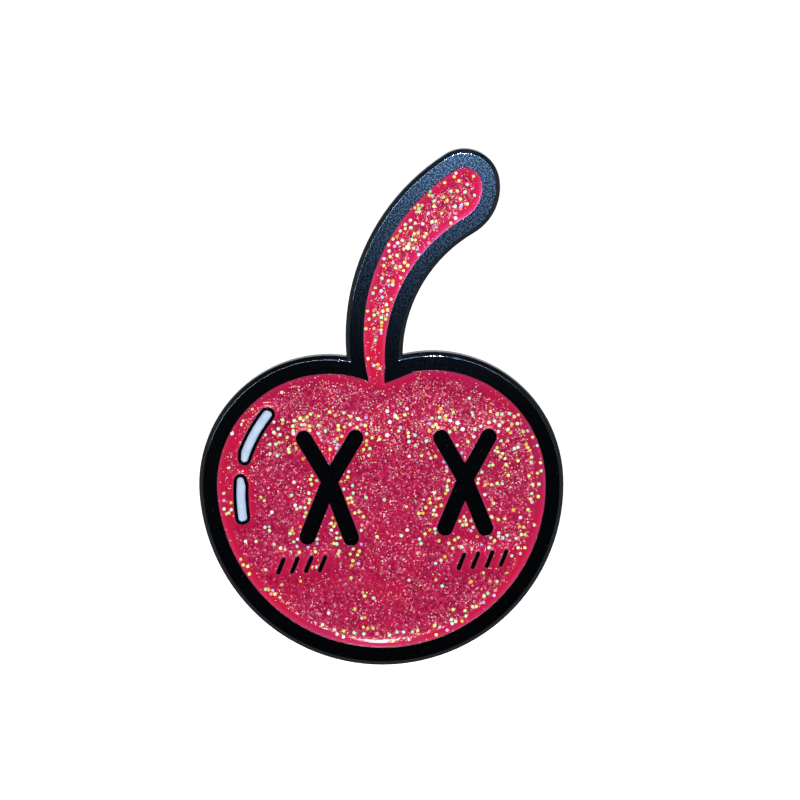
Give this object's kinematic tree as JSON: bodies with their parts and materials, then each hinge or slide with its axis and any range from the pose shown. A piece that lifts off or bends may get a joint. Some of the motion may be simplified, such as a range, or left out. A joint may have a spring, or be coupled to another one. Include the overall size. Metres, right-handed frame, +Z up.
{
  "type": "enamel pin",
  "caption": "Die-struck soft-enamel pin: a glittery pink cherry with cross-shaped eyes on a curved stem, held by nail posts and butterfly clutches.",
  "frame": {"origin": "on the flat back face, midway between the two posts", "axes": "+Z up towards the stem's tip as worn, +Y out of the back along the posts, +X to the right seen from the front; the front faces -Y"},
  "size_m": [0.0267, 0.0101, 0.0379],
  "materials": {
    "black_metal": "black-dyed plating, satin",
    "glitter_enamel": "pink-red soft enamel filled with hexagonal glitter, gloss",
    "white_enamel": "white soft enamel, gloss",
    "post_metal": "nickel-plated wire, bright",
    "solder": "dull tin solder",
    "clutch_cap_metal": "nickel-plated pressed steel, bright",
    "clutch_spring_metal": "nickel-plated spring strip, satin"
  },
  "bodies": {
    "pin": {"pin_body": "black_metal", "glitter_enamel": "glitter_enamel", "white_enamel_upper": "white_enamel", "white_enamel_lower": "white_enamel", "post_left": "post_metal", "solder_left": "solder", "post_right": "post_metal", "solder_right": "solder"},
    "clutch_left": {"clutch_left_cap": "clutch_cap_metal", "clutch_left_floor": "clutch_spring_metal"},
    "clutch_left_wing_outer": {"clutch_left_wing_outer": "clutch_spring_metal"},
    "clutch_left_wing_inner": {"clutch_left_wing_inner": "clutch_spring_metal"},
    "clutch_right": {"clutch_right_cap": "clutch_cap_metal", "clutch_right_floor": "clutch_spring_metal"},
    "clutch_right_wing_outer": {"clutch_right_wing_outer": "clutch_spring_metal"},
    "clutch_right_wing_inner": {"clutch_right_wing_inner": "clutch_spring_metal"}
  },
  "joints": [
    {"name": "clutch_left_slide", "type": "slide", "parent": "pin", "child": "clutch_left", "axis": [0, 1, 0], "range_m": [0, 0.009]},
    {"name": "clutch_left_wing_outer_squeeze", "type": "hinge", "parent": "clutch_left", "child": "clutch_left_wing_outer", "pos_m": [-0.007, 0.00522, 0], "axis": [0, 0, -1], "range_deg": [0, 7], "stiffness_Nm_per_rad": 0.0001},
    {"name": "clutch_left_wing_inner_squeeze", "type": "hinge", "parent": "clutch_left", "child": "clutch_left_wing_inner", "pos_m": [-0.007, 0.00522, 0], "axis": [0, 0, 1], "range_deg": [0, 7], "stiffness_Nm_per_rad": 0.0001},
    {"name": "clutch_right_slide", "type": "slide", "parent": "pin", "child": "clutch_right", "axis": [0, 1, 0], "range_m": [0, 0.009]},
    {"name": "clutch_right_wing_outer_squeeze", "type": "hinge", "parent": "clutch_right", "child": "clutch_right_wing_outer", "pos_m": [0.007, 0.00522, 0], "axis": [0, 0, 1], "range_deg": [0, 7], "stiffness_Nm_per_rad": 0.0001},
    {"name": "clutch_right_wing_inner_squeeze", "type": "hinge", "parent": "clutch_right", "child": "clutch_right_wing_inner", "pos_m": [0.007, 0.00522, 0], "axis": [0, 0, -1], "range_deg": [0, 7], "stiffness_Nm_per_rad": 0.0001}
  ],
  "couplings": [
    {"joint": "clutch_left_wing_inner_squeeze", "follows": "clutch_left_wing_outer_squeeze", "ratio": 1},
    {"joint": "clutch_right_wing_inner_squeeze", "follows": "clutch_right_wing_outer_squeeze", "ratio": 1}
  ]
}
